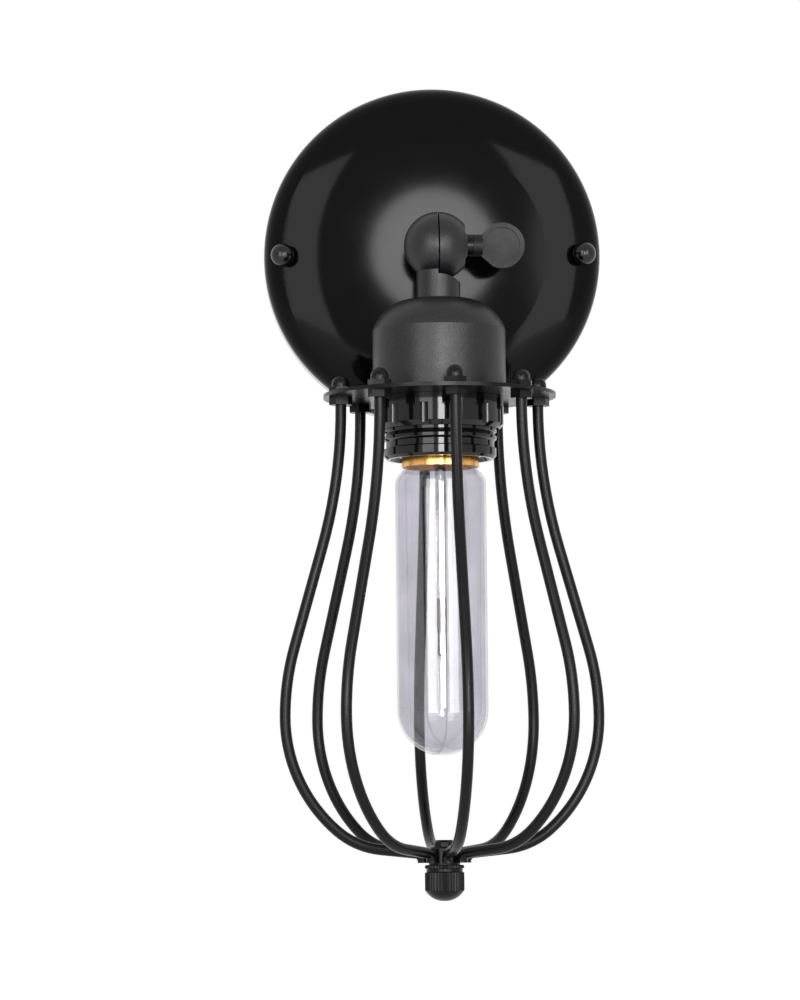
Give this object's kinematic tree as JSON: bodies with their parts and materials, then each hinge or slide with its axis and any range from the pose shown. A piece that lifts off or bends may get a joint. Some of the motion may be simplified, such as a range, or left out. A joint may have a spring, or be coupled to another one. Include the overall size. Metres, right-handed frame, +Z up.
{
  "type": "cage wall light",
  "caption": "Black wall light: domed round plate, lockable ball knuckle, domed lampholder cup and an open wire cage round a clear tubular bulb.",
  "frame": {"origin": "centre of the wall plate, on the wall's surface, midway between the two wall-screw slots", "axes": "+Z up; +Y into the wall, so the light faces -Y; +X to the right as seen from the front"},
  "size_m": [0.12, 0.1316, 0.2847],
  "materials": {
    "plate_black": "satin black paint, smooth",
    "cage_black": "satin black paint",
    "textured_black": "fine sand-textured black powder coat",
    "gloss_black": "gloss black",
    "black_moulding": "glossy black phenolic moulding",
    "zinc_steel": "zinc plated",
    "brass_parts": "plain brass",
    "cap_brass": "rolled brass, warm",
    "porcelain": "glazed ceramic, off-white",
    "block_white": "natural nylon",
    "cap_insulator": "dark vitrified glass",
    "bulb_clear": "clear, thin",
    "stem_glass": "clear, with fine texture",
    "nickel_wire": "drawn nickel wire",
    "filament_dark": "dull tungsten",
    "bead_ceramic": "wound ceramic support",
    "lead_brown": "brown insulation",
    "lead_blue": "blue insulation",
    "lead_earth": "green and yellow insulation"
  },
  "bodies": {
    "wall_side": {"wall_bracket": "zinc_steel", "bracket_studs": "zinc_steel", "bracket_stud_nuts": "zinc_steel", "backplate": "plate_black", "ball_nuts": "gloss_black", "plate_tube": "zinc_steel", "plate_lock_washer": "zinc_steel", "plate_lock_nut": "zinc_steel", "terminal_block": "block_white", "terminal_ways": "brass_parts", "terminal_screws": "zinc_steel", "earth_screw": "brass_parts", "earth_washer": "brass_parts", "earth_lead": "lead_earth", "knuckle_fixed_half": "textured_black", "thumb_screw_washer": "cage_black", "live_lead_in_plate": "lead_brown", "neutral_lead_in_plate": "lead_blue"},
    "lamp_head": {"knuckle_swing_half": "textured_black", "socket_cup": "textured_black", "head_tube": "zinc_steel", "head_lock_washer": "zinc_steel", "head_lock_nut": "zinc_steel", "holder_cap": "black_moulding", "holder_insert": "porcelain", "holder_skirt": "black_moulding", "screw_shell": "brass_parts", "centre_contact": "brass_parts", "holder_terminals": "brass_parts", "holder_terminal_screws": "zinc_steel", "shade_ring": "black_moulding", "cage_ring": "cage_black", "cage_wire_1": "cage_black", "cage_wire_2": "cage_black", "cage_wire_3": "cage_black", "cage_wire_4": "cage_black", "cage_wire_5": "cage_black", "cage_wire_6": "cage_black", "cage_wire_7": "cage_black", "cage_wire_8": "cage_black", "cage_cap_nuts": "cage_black", "cage_hex_nuts": "cage_black", "cage_hub": "cage_black", "hub_screw": "cage_black", "finial": "cage_black", "live_lead_in_head": "lead_brown", "neutral_lead_in_head": "lead_blue"},
    "bulb": {"bulb_glass": "bulb_clear", "bulb_cap": "cap_brass", "bulb_insulator": "cap_insulator", "bulb_contact": "cap_brass", "bulb_stem": "stem_glass", "bulb_bead": "bead_ceramic", "bulb_lead_wires": "nickel_wire", "bulb_filament": "filament_dark"},
    "clamp_screw": {"thumb_screw": "cage_black"}
  },
  "joints": [
    {"name": "head_tilt", "type": "hinge", "parent": "wall_side", "child": "lamp_head", "pos_m": [0, -0.065, 0], "axis": [-1, 0, 0], "range_deg": [-1.5, 174]},
    {"name": "clamp_turn", "type": "hinge", "parent": "lamp_head", "child": "clamp_screw", "pos_m": [0, -0.065, 0], "axis": [1, 0, 0], "range_deg": [0, 360]},
    {"name": "bulb_unscrew", "type": "slide", "parent": "lamp_head", "child": "bulb", "axis": [0, -0.0663, -0.9978], "range_m": [0, 0.018]}
  ]
}
